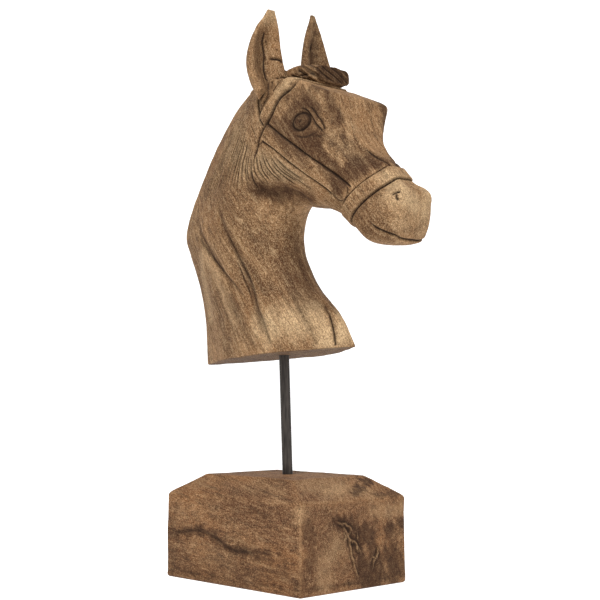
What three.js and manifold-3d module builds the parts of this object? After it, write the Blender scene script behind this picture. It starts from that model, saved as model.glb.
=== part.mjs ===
// A carved driftwood horse head on a steel rod, standing in a chunky bevelled wooden base.
// Millimetres. +X is the way the horse looks, +Y is its left side, +Z is up, and the origin
// is the middle of the base's underside. Three pieces: base, rod and horse_head.
import * as THREE from 'three';
import { mergeVertices } from 'three/addons/utils/BufferGeometryUtils.js';
import { ConvexGeometry } from 'three/addons/geometries/ConvexGeometry.js';
import Module from 'manifold-3d';

const wasm = await Module();
wasm.setup();

// ---- driving dimensions -------------------------------------------------------------------
const BASE = { length: 162, width: 119.5, height: 86, wall: 70, endBevel: 28, sideBevel: 19, arris: 1.5 };
const ROD = { radius: 4.3, foot: 4, inBase: 34, inHead: 40, sides: 24, gap: 0.3 };
const LEAN = THREE.MathUtils.degToRad(2.6);   // the rod and the head tilt back by this
const CUT_HEIGHT = 185;                       // the flat underside of the head, along the rod
// Fineness of the carved solid, the height of the skull's axis, and widths that clear the head.
const HEAD = { steps: 58, cornerSteps: 3, axisHeight: 365, clearWidth: 120, clearDepth: 30 };
const STRAP = { width: 12.4, rise: 1.6 };
const GROOVE = { width: 1.6, depth: 1.6 };

// The carved body is lofted through cross-sections that fan from the neck's cut to the muzzle.
// Each one runs from `under` (neck front, throat, jaw) to `over` (crest, poll, face), as X, Z,
// with half widths at four heights between them: at under, cheek, temple and at over.
const SECTIONS = [
  { under: [86, 185], over: [-93, 182], half: [4, 38, 31, 3] },
  { under: [71, 210], over: [-94, 216], half: [9, 37, 28, 3] },
  { under: [43, 236], over: [-100, 250], half: [14, 35, 26, 3.5] },
  { under: [27, 262], over: [-112, 282], half: [17, 34, 24, 4] },
  { under: [23, 277], over: [-118, 301], half: [18, 34, 23, 4] },
  { under: [23, 287], over: [-108, 325], half: [18, 35, 23, 4] },
  { under: [25, 297], over: [-86, 356], half: [18, 37, 25, 4.5] },
  { under: [32, 304], over: [-56, 389], half: [18, 38, 28, 6] },
  { under: [40, 304.5], over: [-24, 408], half: [18, 38, 33, 11] },
  { under: [47, 302.5], over: [14, 414], half: [19, 38, 37, 20] },
  { under: [53, 301], over: [56, 404], half: [19, 37, 38, 31] },
  { under: [58, 300], over: [80, 393], half: [19, 36, 37.5, 36] },
  { under: [63, 299], over: [97, 383], half: [19, 34, 36, 37.5] },
  { under: [69, 297], over: [102, 366], half: [18, 31, 32, 28] },
  { under: [76, 294], over: [108.5, 351], half: [17, 28, 28, 18] },
  { under: [83, 291], over: [118, 338], half: [17, 26, 24, 12] },
  { under: [90, 287], over: [132, 324], half: [17, 25, 21, 9] },
  { under: [105, 273], over: [146, 308], half: [18, 25, 20, 9] },
  { under: [117, 263], over: [153, 302], half: [19, 25, 23, 15] },
  { under: [133, 259], over: [157, 296], half: [18, 23, 22, 16] },
  { under: [147, 258], over: [158, 288], half: [14, 18, 18, 14] },
];
const HEIGHTS = [0, 0.33, 0.68, 1];           // where along a section the half widths lie
const SOFTNESS = [0.5, 0.5, 0.4, 0.12];       // how far each corner is rounded along its edges

// The bridle's runs over the right side of the head, as X, Y, Z; the left side mirrors them.
const BROWBAND = [[25, -38, 366], [31, -38, 383], [40, -34, 394], [52, -24, 401], [61, 0, 405]];
const CROWNPIECE = [[27, -38, 366], [16, -38, 384], [4, -33, 400], [-6, -16, 410], [-9, 0, 411]];
const CHEEKPIECE = [[28, -38, 364.5], [61, -36, 338], [102, -25, 303]];
const NOSEBAND = { under: [101, 284], over: [141, 314] };
const THROAT_LINE = [[29, -37, 370], [13, -37, 345]];
const MOUTH = { corner: [129, 275], length: 60, slope: THREE.MathUtils.degToRad(40) };
const NOSTRIL = { place: [152, 21, 292], radii: [5, 4, 2] };
const EYE = {
  place: [70, 34.5, 364.5], ball: [6.5, 4, 5.5], socket: [10, 5, 8], socketOut: 4, facets: [14, 10],
};
const EAR = {
  root: 374, height: 103, worn: 6, splay: 5, backDepth: 0.58, frontDepth: 0.4, hollow: 0.64, tipFade: 4,
  x: [30, 30, 26, 22.5, 22, 24, 27], y: [17, 20, 24.5, 28, 28, 26.5, 24.5],
  halfWidth: [10, 19, 21, 19, 16, 11.5, 4], leftAtRoot: 1.3, leftAtTip: 0.8, leftShift: 9.5,
  steps: 11, around: 18,
};
const FORELOCK = {
  locks: 6, steps: 7, around: 10, back: -6, front: 68, stagger: 4, startY: [-15, 13], drift: 5,
  half: 4.4, thick: 9, camber: 2.5, coreDrop: 4, coreShort: 2, z: [402, 411, 415, 413, 408.5],
};

// ---- solids and lofts ---------------------------------------------------------------------
function toSolid(geometry) {
  const bare = geometry.clone();
  bare.deleteAttribute('normal');
  bare.deleteAttribute('uv');
  const merged = mergeVertices(bare, 1e-4);
  const vertProperties = new Float32Array(merged.attributes.position.array);
  const triVerts = new Uint32Array(merged.index.array);
  return new wasm.Manifold(new wasm.Mesh({ numProp: 3, vertProperties, triVerts }));
}

function toGeometry(solid) {
  const mesh = solid.getMesh();
  const geometry = new THREE.BufferGeometry();
  geometry.setAttribute('position', new THREE.BufferAttribute(mesh.vertProperties, 3));
  geometry.setIndex(new THREE.BufferAttribute(mesh.triVerts, 1));
  return geometry;
}

// Skins a list of rings, each with the same number of points, and closes both ends flat.
function loft(rings) {
  const count = rings[0].length;
  const positions = rings.flat().flatMap((p) => [p.x, p.y, p.z]);
  const index = [];
  for (let r = 0; r + 1 < rings.length; r++) {
    for (let i = 0; i < count; i++) {
      const a = r * count + i;
      const b = r * count + (i + 1) % count;
      index.push(a, b, a + count, b, b + count, a + count);
    }
  }
  for (const [ring, flip] of [[0, true], [rings.length - 1, false]]) {
    const middle = new THREE.Vector3();
    rings[ring].forEach((p) => middle.addScaledVector(p, 1 / count));
    const centre = positions.length / 3;
    positions.push(middle.x, middle.y, middle.z);
    for (let i = 0; i < count; i++) {
      const a = ring * count + i;
      const b = ring * count + (i + 1) % count;
      index.push(...(flip ? [centre, b, a] : [centre, a, b]));
    }
  }
  const geometry = new THREE.BufferGeometry();
  geometry.setAttribute('position', new THREE.Float32BufferAttribute(positions, 3));
  geometry.setIndex(index);
  return geometry;
}

// Rounds the corners of a closed outline, each one by its own softness.
function roundOutline(corners, softness, steps) {
  const outline = [];
  corners.forEach((corner, i) => {
    const before = corners[(i + corners.length - 1) % corners.length];
    const after = corners[(i + 1) % corners.length];
    const start = corner.clone().lerp(before, softness[i]);
    const end = corner.clone().lerp(after, softness[i]);
    const arc = new THREE.QuadraticBezierCurve(start, corner, end);
    const last = softness[i] >= 0.5 && softness[(i + 1) % softness.length] >= 0.5 ? steps - 1 : steps;
    for (let s = 0; s <= last; s++) outline.push(arc.getPoint(s / steps));
  });
  return outline;
}

// A smooth value through evenly spaced keys.
function smooth(keys, t) {
  const place = t * (keys.length - 1);
  const k = Math.min(Math.floor(place), keys.length - 2);
  const f = place - k;
  const at = (i) => keys[THREE.MathUtils.clamp(i, 0, keys.length - 1)];
  const slopeA = (at(k + 1) - at(k - 1)) / 2;
  const slopeB = (at(k + 2) - at(k)) / 2;
  const f2 = f * f;
  const f3 = f2 * f;
  return (2 * f3 - 3 * f2 + 1) * at(k) + (f3 - 2 * f2 + f) * slopeA
    + (3 * f2 - 2 * f3) * at(k + 1) + (f3 - f2) * slopeB;
}

// One cross-section of the carved body, swelled by `swell` all round.
function bodyRing(t, swell) {
  const under = [0, 1].map((axis) => smooth(SECTIONS.map((s) => s.under[axis]), t));
  const over = [0, 1].map((axis) => smooth(SECTIONS.map((s) => s.over[axis]), t));
  const half = HEIGHTS.map((_, i) => smooth(SECTIONS.map((s) => s.half[i]), t));
  const rise = Math.hypot(over[0] - under[0], over[1] - under[1]);
  const left = HEIGHTS.map((h, i) => new THREE.Vector2(half[i] + swell, (h * (rise + 2 * swell)) - swell));
  const right = left.map((p) => new THREE.Vector2(-p.x, p.y)).reverse();
  const softness = [...SOFTNESS, ...SOFTNESS.toReversed()];
  const outline = roundOutline([...left, ...right], softness, HEAD.cornerSteps);
  const along = new THREE.Vector3((over[0] - under[0]) / rise, 0, (over[1] - under[1]) / rise);
  const start = new THREE.Vector3(under[0], 0, under[1]);
  return outline.map((p) => start.clone().addScaledVector(along, p.y).setY(p.x));
}

function carvedBody(swell) {
  const rings = [];
  for (let i = 0; i <= HEAD.steps; i++) rings.push(bodyRing(i / HEAD.steps, swell));
  return toSolid(loft(rings));
}

// A box on a straight run between two points of the head's surface: `width` wide along the
// surface and `depth` deep across it.
function runBox(from, to, width, depth) {
  const start = new THREE.Vector3(...from);
  const end = new THREE.Vector3(...to);
  const middle = start.clone().lerp(end, 0.5);
  const along = end.clone().sub(start);
  const outward = new THREE.Vector3(0, middle.y, Math.max(middle.z - HEAD.axisHeight, 0));
  const across = new THREE.Vector3().crossVectors(outward, along).normalize();
  const deep = new THREE.Vector3().crossVectors(along, across).normalize();
  const box = new THREE.BoxGeometry(along.length() + width * 0.5, width, depth);
  const turn = new THREE.Matrix4().makeBasis(along.clone().normalize(), across, deep);
  box.applyMatrix4(turn.setPosition(middle));
  return toSolid(box);
}

function mirrored(point) {
  return [point[0], -point[1], point[2]];
}

// The same run of points on both sides of the head, as joined boxes.
function bothSides(points, width, depth) {
  const boxes = [];
  for (let i = 0; i + 1 < points.length; i++) {
    boxes.push(runBox(points[i], points[i + 1], width, depth));
    boxes.push(runBox(mirrored(points[i]), mirrored(points[i + 1]), width, depth));
  }
  return boxes.reduce((joined, box) => joined.add(box));
}

// The bridle lies on the head as raised straps.
function bridle() {
  const around = carvedBody(STRAP.rise);
  const straps = [BROWBAND, CROWNPIECE, CHEEKPIECE]
    .map((points) => bothSides(points, STRAP.width, HEAD.clearDepth))
    .reduce((joined, strap) => joined.add(strap));
  return around.intersect(straps.add(nosebandSlab()));
}

// The noseband circles the nose in one slanting plane.
function nosebandSlab() {
  const middle = new THREE.Vector2(...NOSEBAND.under).lerp(new THREE.Vector2(...NOSEBAND.over), 0.5);
  const reach = new THREE.Vector2(...NOSEBAND.over).sub(new THREE.Vector2(...NOSEBAND.under));
  const slab = new THREE.BoxGeometry(reach.length() * 2, HEAD.clearWidth, STRAP.width);
  slab.rotateY(-Math.atan2(reach.y, reach.x));
  slab.translate(middle.x, 0, middle.y);
  return toSolid(slab);
}

// An ear: a leaf with a hollow front, lofted from its root to its tip.
function ear(side) {
  const rings = [];
  const facing = THREE.MathUtils.degToRad(EAR.splay) * side;
  const tall = side > 0 ? EAR.height : EAR.height - EAR.worn;
  for (let i = 0; i <= EAR.steps; i++) {
    const t = i / EAR.steps;
    const breadth = side > 0 ? THREE.MathUtils.lerp(EAR.leftAtRoot, EAR.leftAtTip, t) : 1;
    const half = smooth(EAR.halfWidth, t) * breadth;
    const hollow = EAR.hollow * Math.min(1, EAR.tipFade * (1 - t));
    const x = smooth(EAR.x, t);
    const y = smooth(EAR.y, t) * side + (side > 0 ? EAR.leftShift * (1 - t) : 0);
    const z = EAR.root + tall * t;
    const ring = [];
    for (let k = 0; k < EAR.around; k++) {
      const angle = (k / EAR.around) * 2 * Math.PI;
      const across = Math.cos(angle);
      const fill = 1 - across * across;
      const front = Math.sin(angle) > 0;
      const out = half * (front ? EAR.frontDepth * Math.sqrt(fill) - hollow * fill * fill
        : -EAR.backDepth * Math.sqrt(fill));
      const u = half * across;
      ring.push(new THREE.Vector3(
        x + out * Math.cos(facing) + u * Math.sin(facing),
        y + out * Math.sin(facing) - u * Math.cos(facing),
        z,
      ));
    }
    rings.push(ring);
  }
  return toSolid(loft(rings));
}

// One lock of the forelock, from behind the poll to its cut end over the brow.
function lock(y, drop, front, half, thick) {
  const rings = [];
  for (let i = 0; i <= FORELOCK.steps; i++) {
    const t = i / FORELOCK.steps;
    const x = THREE.MathUtils.lerp(FORELOCK.back, front, t);
    const z = smooth(FORELOCK.z, t) - drop;
    const ring = [];
    for (let k = 0; k < FORELOCK.around; k++) {
      const angle = (k / FORELOCK.around) * 2 * Math.PI;
      const side = y + FORELOCK.drift * t + half * Math.cos(angle);
      ring.push(new THREE.Vector3(x, side, z + thick * Math.sin(angle)));
    }
    rings.push(ring);
  }
  return toSolid(loft(rings));
}

// The forelock: locks side by side on a flat core that fills the hollow under them.
function forelock() {
  const [first, last] = FORELOCK.startY;
  const coreFront = FORELOCK.front - FORELOCK.coreShort;
  let hair = lock((first + last) / 2, FORELOCK.coreDrop, coreFront, (last - first) / 2, FORELOCK.thick);
  for (let n = 0; n < FORELOCK.locks; n++) {
    const share = n / (FORELOCK.locks - 1);
    const drop = FORELOCK.camber * (2 * share - 1) ** 2;
    const front = FORELOCK.front + FORELOCK.stagger * (n % 2);
    hair = hair.add(lock(first + (last - first) * share, drop, front, FORELOCK.half, FORELOCK.thick));
  }
  return hair;
}

// Knife grooves a little way into the surface.
function grooves() {
  const inside = carvedBody(-GROOVE.depth);
  const lines = bothSides(THROAT_LINE, GROOVE.width, HEAD.clearDepth);
  const mouth = new THREE.BoxGeometry(MOUTH.length, HEAD.clearWidth, GROOVE.width);
  mouth.translate(MOUTH.length / 2, 0, 0);
  mouth.rotateY(MOUTH.slope);
  mouth.translate(MOUTH.corner[0], 0, MOUTH.corner[1]);
  return lines.add(toSolid(mouth)).subtract(inside);
}

// The eyeballs, their sockets and the nostrils.
function ellipsoid(radii, place) {
  const ball = new THREE.SphereGeometry(1, ...EYE.facets);
  ball.scale(...radii);
  ball.translate(...place);
  return toSolid(ball);
}

let horseHead = carvedBody(0).add(bridle()).subtract(grooves());
for (const side of [-1, 1]) {
  const [x, y, z] = EYE.place;
  horseHead = horseHead.subtract(ellipsoid(EYE.socket, [x, side * (y + EYE.socketOut), z]));
  horseHead = horseHead.add(ellipsoid(EYE.ball, [x, side * y, z])).add(ear(side));
  const [noseX, noseY, noseZ] = NOSTRIL.place;
  horseHead = horseHead.subtract(ellipsoid(NOSTRIL.radii, [noseX, side * noseY, noseZ]));
}
horseHead = horseHead.add(forelock());

// ---- the base -----------------------------------------------------------------------------
function baseSolid() {
  const x = BASE.length / 2;
  const y = BASE.width / 2;
  const a = BASE.arris;
  const corners = [];
  for (const sx of [-1, 1]) {
    for (const sy of [-1, 1]) {
      for (const z of [a, BASE.wall]) {
        corners.push(new THREE.Vector3(sx * (x - a), sy * y, z));
        corners.push(new THREE.Vector3(sx * x, sy * (y - a), z));
      }
      corners.push(new THREE.Vector3(sx * (x - a), sy * (y - a), 0));
      corners.push(new THREE.Vector3(sx * (x - BASE.endBevel), sy * (y - BASE.sideBevel), BASE.height));
    }
  }
  return toSolid(new ConvexGeometry(corners));
}

// The rod's axis leans back about the point where it leaves the base.
function leaned(solid) {
  const pivot = new THREE.Matrix4().makeTranslation(0, 0, BASE.height);
  const turn = new THREE.Matrix4().makeRotationY(-LEAN);
  const matrix = pivot.clone().multiply(turn).multiply(pivot.clone().invert());
  const geometry = toGeometry(solid);
  geometry.applyMatrix4(matrix);
  return toSolid(geometry);
}

function upright(radius, low, high) {
  const geometry = new THREE.CylinderGeometry(radius, radius, high - low, ROD.sides);
  geometry.rotateX(Math.PI / 2);
  geometry.translate(ROD.foot, 0, (low + high) / 2);
  return toSolid(geometry);
}

const rodLow = BASE.height - ROD.inBase;
const rodHigh = CUT_HEIGHT + ROD.inHead;
const hole = upright(ROD.radius + ROD.gap, rodLow - ROD.gap, rodHigh + ROD.gap);

function piece(name, solid, color, roughness, metalness) {
  const material = new THREE.MeshStandardMaterial({ color, roughness, metalness });
  const mesh = new THREE.Mesh(toGeometry(solid), material);
  mesh.name = name;
  return mesh;
}

const group = new THREE.Group();
group.add(piece('base', baseSolid().subtract(leaned(hole)), 0x8a6848, 0.8, 0));
group.add(piece('rod', leaned(upright(ROD.radius, rodLow, rodHigh)), 0x4a4744, 0.45, 1));
group.add(piece('horse_head', leaned(horseHead.subtract(hole)), 0x94714f, 0.75, 0));
export default group;
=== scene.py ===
"""The looks of a carved driftwood horse head on a steel rod and a bevelled wooden base.

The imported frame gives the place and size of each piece. The head and the base are rebuilt here as
fine meshes in the same frame: a smooth body first, then relief carved into it by functions of place.
Lengths in the shape sections are millimetres in the carver's frame, where the rod is upright and the
head's underside is nearly level; `to_row` leans that frame back and turns it into metres.
"""
import math

import bpy
import numpy as np
from mathutils import Matrix, Vector
from mathutils.bvhtree import BVHTree


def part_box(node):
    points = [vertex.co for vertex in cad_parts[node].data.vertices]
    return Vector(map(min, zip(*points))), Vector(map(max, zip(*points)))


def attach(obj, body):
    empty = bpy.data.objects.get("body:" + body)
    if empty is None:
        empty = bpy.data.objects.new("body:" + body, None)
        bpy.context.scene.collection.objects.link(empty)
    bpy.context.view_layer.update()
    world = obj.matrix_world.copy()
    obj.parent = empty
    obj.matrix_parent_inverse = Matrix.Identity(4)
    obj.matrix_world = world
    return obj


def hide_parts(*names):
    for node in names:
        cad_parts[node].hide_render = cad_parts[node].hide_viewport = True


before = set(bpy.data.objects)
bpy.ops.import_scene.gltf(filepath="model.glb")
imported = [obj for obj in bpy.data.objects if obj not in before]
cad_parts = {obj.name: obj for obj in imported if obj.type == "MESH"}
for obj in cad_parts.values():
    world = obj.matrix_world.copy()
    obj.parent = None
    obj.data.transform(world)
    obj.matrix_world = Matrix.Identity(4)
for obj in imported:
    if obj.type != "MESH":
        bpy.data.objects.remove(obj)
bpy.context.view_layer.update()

BASE_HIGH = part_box("base")[1]
ROD_LOW, ROD_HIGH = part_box("rod")

# ---- sizes ----
MM = 0.001
BASE_TOP = BASE_HIGH.z / MM
LEAN = math.radians(2.6)
ROD_RADIUS = 4.3
ROD_FOOT = 4.0

# The base: its gap inside the CAD solid, the top of its walls, and its bevels.
BASE_INSET = 0.3
WALL_TOP, END_BEVEL, SIDE_BEVEL = 70.0, 28.0, 19.0

# The ears: the height of their roots, how tall they stand and their turn outwards.
EAR_ROOT, LEFT_EAR, RIGHT_EAR = 374, 103, 97
EAR_TURN = math.radians(5)

# The eye's middle, its length over its height, and half the ball's height.
EYE = (70.0, 35.0, 364.5)
EYE_STRETCH, EYEBALL = 1.38, 6.6

# The straps' half widths, and the noseband's slanting plane.
BROWBAND_HALF, CHEEK_HALF, NOSEBAND_HALF = 6.2, 6.2, 6.5
NOSEBAND_SLOPE = math.radians(35.5)
NOSEBAND_X, NOSEBAND_Z = 121, 301

# Strands of hair on each side, and the slope of the forelock's locks.
STRANDS = 74
LOCK_SLOPE = math.radians(34)

# The fine meshes: voxel sizes, and the triangles that the head is thinned to.
HEAD_VOXEL, BASE_VOXEL = 0.65, 1.2
HEAD_TRIANGLES = 192000

# Mending: the deepest cut as a share of the wood behind it, how far a point may stand off its
# neighbours, the least cosines for a point's turned normal and between two triangles, and the
# share of the way to its neighbours that a faulty point moves in each round.
THIN_SHARE, SPIKE_LIMIT, TURN_LIMIT, FOLD_LIMIT, DRAW_BACK = 0.3, 0.7, 0.2, -0.1, 0.6
REPAIR_ROUNDS, UNFOLD_ROUNDS = 24, 60

# The height over its neighbours at which a point is fully worn, or below them fully dark with painted shade.
FULL_CURVE = 0.2

# The camera's heading and tilt, its place in metres from the origin, and its lens.
VIEW_YAW, VIEW_PITCH = math.radians(46.1), math.radians(4.5)
AHEAD = Vector((-math.sin(VIEW_YAW), math.cos(VIEW_YAW), 0))
ASIDE = Vector((math.cos(VIEW_YAW), math.sin(VIEW_YAW), 0))
VIEW_BACK, VIEW_ASIDE, VIEW_UP = 1.010, 0.013, 0.151
VIEW_LENS = 72.5

# Cross-sections of the carved body, from the neck's cut to the muzzle: under and over as X, Z,
# and half widths at four heights between them.
SECTIONS = [
    ((86, 185), (-93, 182), (4, 38, 31, 3)),
    ((71, 210), (-94, 216), (9, 37, 28, 3)),
    ((43, 236), (-100, 250), (14, 35, 26, 3.5)),
    ((27, 262), (-112, 282), (17, 34, 24, 4)),
    ((23, 277), (-118, 301), (18, 34, 23, 4)),
    ((23, 287), (-108, 325), (18, 35, 23, 4)),
    ((25, 297), (-86, 356), (18, 37, 25, 4.5)),
    ((32, 304), (-56, 389), (18, 38, 28, 6)),
    ((40, 304.5), (-24, 408), (18, 38, 33, 11)),
    ((47, 302.5), (14, 414), (19, 38, 37, 20)),
    ((53, 301), (56, 404), (19, 37, 38, 31)),
    ((58, 300), (80, 393), (19, 36, 37.5, 36)),
    ((61.5, 299.5), (95.5, 385), (19, 35, 36.5, 37.5)),
    ((64, 299), (98.5, 380.5), (19, 34, 35.5, 37)),
    ((69, 297), (102, 366), (18, 31, 32, 28)),
    ((76, 294), (108.5, 351), (17, 28, 28, 18)),
    ((83, 291), (118, 338), (17, 26, 24, 12)),
    ((90, 287), (132, 324), (17, 25, 21, 9)),
    ((105, 273), (146, 308), (18, 25, 20, 9)),
    ((117, 263), (153, 302), (19, 25, 23, 15)),
    ((133, 259.5), (157, 296), (18, 23, 22, 16)),
    ((146, 259), (156.5, 288), (14, 18, 18, 14)),
]
HEIGHTS = (0, 0.33, 0.68, 1)
SOFTNESS = (0.5, 0.5, 0.4, 0.09)


# ---- small tools ----
def to_row(points):
    """Carver's frame in millimetres to the row frame in metres: leaned back about the base's top."""
    points = np.asarray(points, float)
    x, y, z = points[:, 0], points[:, 1], points[:, 2] - BASE_TOP
    leaned_x = x * math.cos(LEAN) - z * math.sin(LEAN)
    leaned_z = x * math.sin(LEAN) + z * math.cos(LEAN) + BASE_TOP
    return np.stack([leaned_x, y, leaned_z], 1) * MM


def spline(keys, places):
    """A smooth curve through evenly spaced keys, at places from 0 to 1."""
    keys = np.asarray(keys, float)
    if keys.ndim == 1:
        return spline(keys[:, None], places)[:, 0]
    last = len(keys) - 1
    place = np.clip(np.asarray(places, float), 0, 1) * last
    k = np.minimum(place.astype(int), last - 1)
    f = (place - k)[:, None]
    before, a, b, after = (keys[np.clip(k + d, 0, last)] for d in (-1, 0, 1, 2))
    slope_a, slope_b = (b - before) / 2, (after - a) / 2
    return ((2 * f**3 - 3 * f**2 + 1) * a + (f**3 - 2 * f**2 + f) * slope_a
            + (3 * f**2 - 2 * f**3) * b + (f**3 - f**2) * slope_b)


def ramp(value, low, high):
    """0 below low, 1 above high, smooth between; low may be the larger."""
    t = np.clip((value - low) / (high - low), 0, 1)
    return t * t * (3 - 2 * t)


def bump(value, width):
    """1 where value is 0, falling away smoothly over about the width on both sides."""
    return np.exp(-(value / width) ** 2)


def wave_noise(points, size, seed, stretch=(1, 1, 1), octaves=3):
    """Smooth noise, mostly between -1 and 1, as sums of sine waves in random directions."""
    random = np.random.default_rng(seed)
    total = np.zeros(len(points))
    for octave in range(octaves):
        for _ in range(5):
            direction = random.normal(size=3)
            direction /= np.linalg.norm(direction)
            turn = points @ (direction / np.asarray(stretch)) * (2 * math.pi * 2**octave / size)
            total += np.sin(turn + random.uniform(0, 2 * math.pi)) / 2**octave
    return total / 4.5


# ---- meshes as arrays ----
def loft(rings):
    """Skins rings of equal count and closes both ends."""
    rings = np.asarray(rings, float)
    rows, count = rings.shape[:2]
    index = np.arange(rows * count).reshape(rows, count)
    a = index[:-1].ravel()
    b = np.roll(index, -1, 1)[:-1].ravel()
    faces = [tuple(f) for f in np.stack([a, b, b + count, a + count], 1).tolist()]
    vertices = rings.reshape(-1, 3)
    for row, flip in ((0, True), (rows - 1, False)):
        centre = len(vertices)
        vertices = np.vstack([vertices, rings[row].mean(0)])
        for i in range(count):
            pair = (int(index[row, i]), int(index[row, (i + 1) % count]))
            faces.append((centre, *(pair[::-1] if flip else pair)))
    return vertices, faces


def joined(parts):
    vertices, faces, start = [], [], 0
    for part_vertices, part_faces in parts:
        vertices.append(part_vertices)
        faces.extend(tuple(i + start for i in face) for face in part_faces)
        start += len(part_vertices)
    return np.vstack(vertices), faces


def new_object(name, vertices, faces):
    mesh = bpy.data.meshes.new(name)
    mesh.from_pydata([tuple(v) for v in vertices], [], faces)
    mesh.update()
    thing = bpy.data.objects.new(name, mesh)
    bpy.context.scene.collection.objects.link(thing)
    return thing


def apply_modifier(thing, kind, **settings):
    modifier = thing.modifiers.new("shape", kind)
    for key, value in settings.items():
        setattr(modifier, key, value)
    graph = bpy.context.evaluated_depsgraph_get()
    mesh = bpy.data.meshes.new_from_object(thing.evaluated_get(graph))
    thing.modifiers.clear()
    old = thing.data
    thing.data = mesh
    bpy.data.meshes.remove(old)


def read(items, name, width, kind=np.float32):
    """One property of all the items of a mesh, as the rows of an array."""
    values = np.empty(len(items) * width, kind)
    items.foreach_get(name, values)
    return values.reshape(-1, width)


def coordinates(mesh):
    return read(mesh.vertices, "co", 3).astype(float)


def set_coordinates(mesh, values):
    mesh.vertices.foreach_set("co", np.asarray(values, np.float32).ravel())
    mesh.update()


def vertex_normals(mesh):
    return read(mesh.vertex_normals, "vector", 3).astype(float)


def edge_pairs(mesh):
    return read(mesh.edges, "vertices", 2, np.int32)


def neighbour_mean(values, edges):
    total = np.zeros_like(values)
    counts = np.bincount(edges.ravel(), minlength=len(values)).astype(float)
    for axis in range(values.shape[1]):
        total[:, axis] = (np.bincount(edges[:, 0], values[edges[:, 1], axis], len(values))
                          + np.bincount(edges[:, 1], values[edges[:, 0], axis], len(values)))
    return total / np.maximum(counts, 1)[:, None]


def relax(values, edges, rounds, strength=0.5):
    for _ in range(rounds):
        values = values + (neighbour_mean(values, edges) - values) * strength
    return values


def set_attribute(mesh, name, values):
    attribute = mesh.attributes.new(name, "FLOAT", "POINT")
    attribute.data.foreach_set("value", np.clip(values, 0, 1).astype(np.float32))


# ---- the head's smooth body ----
def rounded(corners, softness, steps):
    """Rounds each corner of a closed outline by its own softness."""
    points = []
    for i, corner in enumerate(corners):
        start = corner + (corners[i - 1] - corner) * softness[i]
        end = corner + (corners[(i + 1) % len(corners)] - corner) * softness[i]
        for s in np.arange(steps) / steps:
            points.append((1 - s) ** 2 * start + 2 * s * (1 - s) * corner + s * s * end)
        points.append(end * 0.999 + corner * 0.001)
    return np.array(points)


def body():
    """Neck, jaw and nose in one skin, through the cross-sections."""
    places = np.linspace(0, 1, 241)
    under = spline([s[0] for s in SECTIONS], places)
    over = spline([s[1] for s in SECTIONS], places)
    half = spline([s[2] for s in SECTIONS], places)
    rings = []
    for low, high, widths in zip(under, over, half):
        rise = np.linalg.norm(high - low)
        along = (high - low) / rise
        side = np.array([(w, h * rise) for w, h in zip(widths, HEIGHTS)])
        corners = np.vstack([side, side[::-1] * (-1, 1)])
        outline = rounded(corners, SOFTNESS + SOFTNESS[::-1], 9)
        rings.append([(low[0] + along[0] * v, w, low[1] + along[1] * v) for w, v in outline])
    rings = np.array(rings)
    # The muzzle's end is rounded over by a few smaller rings.
    centre = rings[-1].mean(0)
    forward = np.array([0.97, 0, -0.25])
    cap = [centre + (rings[-1] - centre) * math.cos(a) ** 0.6 + forward * 2 * math.sin(a)
           for a in np.linspace(0.3, 1.45, 8)]
    return loft(np.concatenate([rings, cap]))


def ear(side):
    """A leaf with a hollow front. The left ear is taller, wider low down and has a sharper tip."""
    steps, around = 70, 64
    t = np.linspace(0, 1, steps + 1)
    half = spline((10, 19, 21, 19, 16, 11.5, 4), t)
    x = spline((30, 30, 26, 22.5, 22, 24, 27), t)
    y = spline((17, 20, 24.5, 28, 28, 26.5, 24.5), t) * side
    z = EAR_ROOT + RIGHT_EAR * t
    slack = 0.02
    if side > 0:
        half = half * (1.3 - 0.5 * t) * (0.6 + 0.4 * ramp(t, 0, 0.18))
        y = y + 9.5 * (1 - t)
        z = EAR_ROOT + LEFT_EAR * t
        slack = 0.25
    # Low down, the browband cuts off the ear's front, and the slack keeps some thickness there.
    limit = np.interp(z, (EAR_ROOT, 381, 391, 401, 407), (12, 18, 23, 31, 60))
    deep = half * 0.58
    facing = EAR_TURN * side
    angle = np.arange(around) * 2 * math.pi / around
    across = np.cos(angle)
    fill = 1 - across**2
    rings = []
    for i in range(steps + 1):
        hollow = 1.1 * fill**2 * min(1, 4 * (1 - t[i]))
        out = deep[i] * np.where(np.sin(angle) > 0, 0.7 * np.sqrt(fill) - hollow, -np.sqrt(fill))
        u = half[i] * across
        front = x[i] + out * math.cos(facing) + u * math.sin(facing)
        rings.append(np.stack([
            np.minimum(front, limit[i] + slack * out),
            y[i] + out * math.sin(facing) - u * math.cos(facing),
            np.full(around, z[i]),
        ], 1))
    return loft(rings)


def signed_power(values, power):
    """Bends a sine or a cosine so that the outline it draws is squarer than a circle."""
    return np.sign(values) * np.abs(values) ** power


def forelock():
    """A flat mass of hair from behind the poll to a blunt end over the brow."""
    steps, around = 40, 48
    t = np.linspace(0, 1, steps)
    x = -6 + 76 * t
    y = -1 + 5 * t
    z = spline((402, 411, 415, 413.5, 409.5), t)
    thick = spline((8.5, 8.5, 8.5, 8, 7.5), t)
    half = spline((7, 9, 13, 18, 18), t)
    angle = np.arange(around) * 2 * math.pi / around
    across = signed_power(np.cos(angle), 0.55)
    upward = signed_power(np.sin(angle), 0.5)
    rings = []
    for i in range(steps):
        rings.append(np.stack([
            np.full(around, x[i]),
            y[i] + half[i] * across,
            z[i] + thick[i] * upward,
        ], 1))
    return loft(rings)


def smooth_head():
    vertices, faces = joined([body(), ear(-1), ear(1), forelock()])
    head = new_object("carved_head", vertices, faces)
    apply_modifier(head, "REMESH", mode="VOXEL", voxel_size=HEAD_VOXEL)
    return head


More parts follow.
